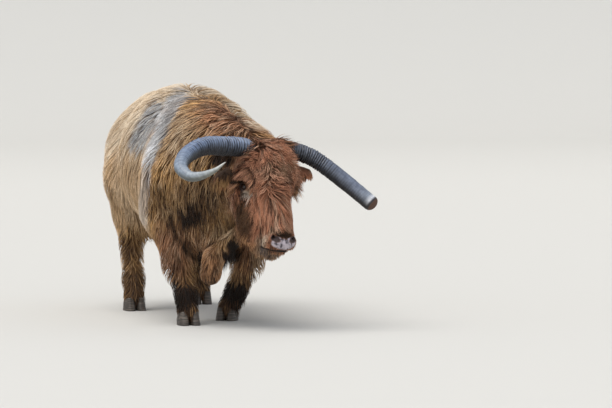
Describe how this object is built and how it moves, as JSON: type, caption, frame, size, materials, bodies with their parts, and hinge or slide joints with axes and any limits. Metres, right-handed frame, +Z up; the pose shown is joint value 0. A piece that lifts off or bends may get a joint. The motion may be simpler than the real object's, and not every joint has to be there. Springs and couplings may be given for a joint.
{
  "type": "highland bull",
  "caption": "Life-size still highland bull in mid-step, head low and turned left, with a shaggy red-brown coat, one curled horn and one drooping horn.",
  "frame": {"origin": "on the floor, below the middle of the bounding box", "axes": "+Z up, the head at -Y and the tail at +Y, the animal's left side at +X"},
  "size_m": [1.1872, 2.6322, 1.281],
  "materials": {
    "coat": "long, wavy, golden-brown hair",
    "face_coat": "red-brown hair, curled on the forehead and straight down the nose",
    "nose": "damp pink-grey skin with dark mottling",
    "horn": "slate-grey horn, ridged towards the base",
    "hoof": "dark, dull horn with growth rings",
    "eye": "wet, almost black brown"
  },
  "bodies": {
    "root": {"head": "face_coat", "muzzle": "nose", "lower_jaw": "face_coat", "right_ear": "face_coat", "left_ear": "face_coat", "right_horn": "horn", "left_horn": "horn", "right_eye": "eye", "left_eye": "eye", "neck": "coat", "dewlap": "coat", "trunk": "coat", "tail": "coat", "right_fore_upper_leg": "coat", "right_fore_lower_leg": "coat", "right_fore_outer_claw": "hoof", "right_fore_inner_claw": "hoof", "left_fore_upper_leg": "coat", "left_fore_lower_leg": "coat", "left_fore_outer_claw": "hoof", "left_fore_inner_claw": "hoof", "right_hind_upper_leg": "coat", "right_hind_lower_leg": "coat", "right_hind_outer_claw": "hoof", "right_hind_inner_claw": "hoof", "left_hind_upper_leg": "coat", "left_hind_lower_leg": "coat", "left_hind_outer_claw": "hoof", "left_hind_inner_claw": "hoof"}
  },
  "joints": []
}
